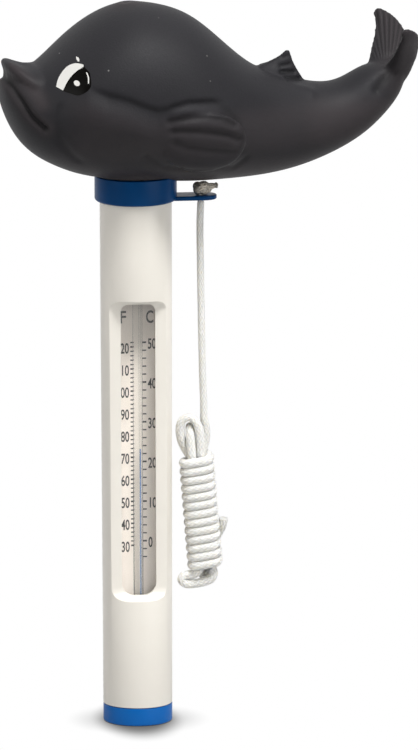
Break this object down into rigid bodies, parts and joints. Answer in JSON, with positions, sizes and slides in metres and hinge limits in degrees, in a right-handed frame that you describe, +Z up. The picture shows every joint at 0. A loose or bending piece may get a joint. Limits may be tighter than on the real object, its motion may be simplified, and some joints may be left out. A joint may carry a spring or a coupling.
{
  "type": "floating pool thermometer",
  "caption": "Pool thermometer: a hollow whale float on a weighted tube with a window, a printed scale and a spirit stem, and a wrapped cord tied to the collar's eyelet tab.",
  "frame": {"origin": "centre of the bottom cap's flat face, on the tube's axis", "axes": "+Z up the tube, -Y out of the window, +X towards the eyelet tab and the whale's tail"},
  "size_m": [0.1483, 0.0684, 0.256],
  "materials": {
    "dark_vinyl": "matte soft vinyl",
    "blue_plastic": "satin moulded",
    "white_plastic": "satin moulded",
    "clear_plastic": "clear polished",
    "card_paper": "printed",
    "grey_plastic": "moulded",
    "clear_glass": "clear drawn",
    "blue_spirit": "dyed liquid",
    "spring_steel": "bright",
    "gasket_rubber": "matte",
    "grey_foam": "closed-cell foam",
    "ballast_iron": "plain",
    "white_braid": "round braid"
  },
  "bodies": {
    "case": {"eyelet_collar": "blue_plastic", "collar_seal_ring": "gasket_rubber", "case_tube": "white_plastic", "window_gasket": "gasket_rubber", "window_lens": "clear_plastic", "scale_card": "card_paper", "card_carrier": "grey_plastic", "glass_stem": "clear_glass", "spirit_reservoir": "blue_spirit", "upper_stem_clip": "spring_steel", "lower_stem_clip": "spring_steel", "upper_cushion": "grey_foam", "bulb_cushion": "grey_foam", "ballast_weight": "ballast_iron", "ballast_pad": "grey_foam", "bottom_cap": "blue_plastic", "bottom_cap_seal": "gasket_rubber", "tether_knot": "white_braid"},
    "float": {"whale_float": "dark_vinyl"},
    "tether": {"tether_cord": "white_braid"},
    "hank": {"tether_hank": "white_braid"},
    "spirit": {"spirit_column": "blue_spirit"}
  },
  "joints": [
    {"name": "float_swivel", "type": "hinge", "parent": "case", "child": "float", "pos_m": [0, 0, 0.1952], "axis": [0, 0, 1], "continuous": true},
    {"name": "tether_swing", "type": "hinge", "parent": "case", "child": "tether", "pos_m": [0.0228, 0, 0.18435], "axis": [0, -1, 0], "range_deg": [0, 60]},
    {"name": "hank_sway", "type": "hinge", "parent": "tether", "child": "hank", "pos_m": [0.0236, 0, 0.1098], "axis": [1, 0, 0], "range_deg": [-45, 45]},
    {"name": "spirit_rise", "type": "slide", "parent": "case", "child": "spirit", "axis": [0, 0, 1], "range_m": [-0.036, 0.038], "deforming": ["spirit_column"]}
  ]
}
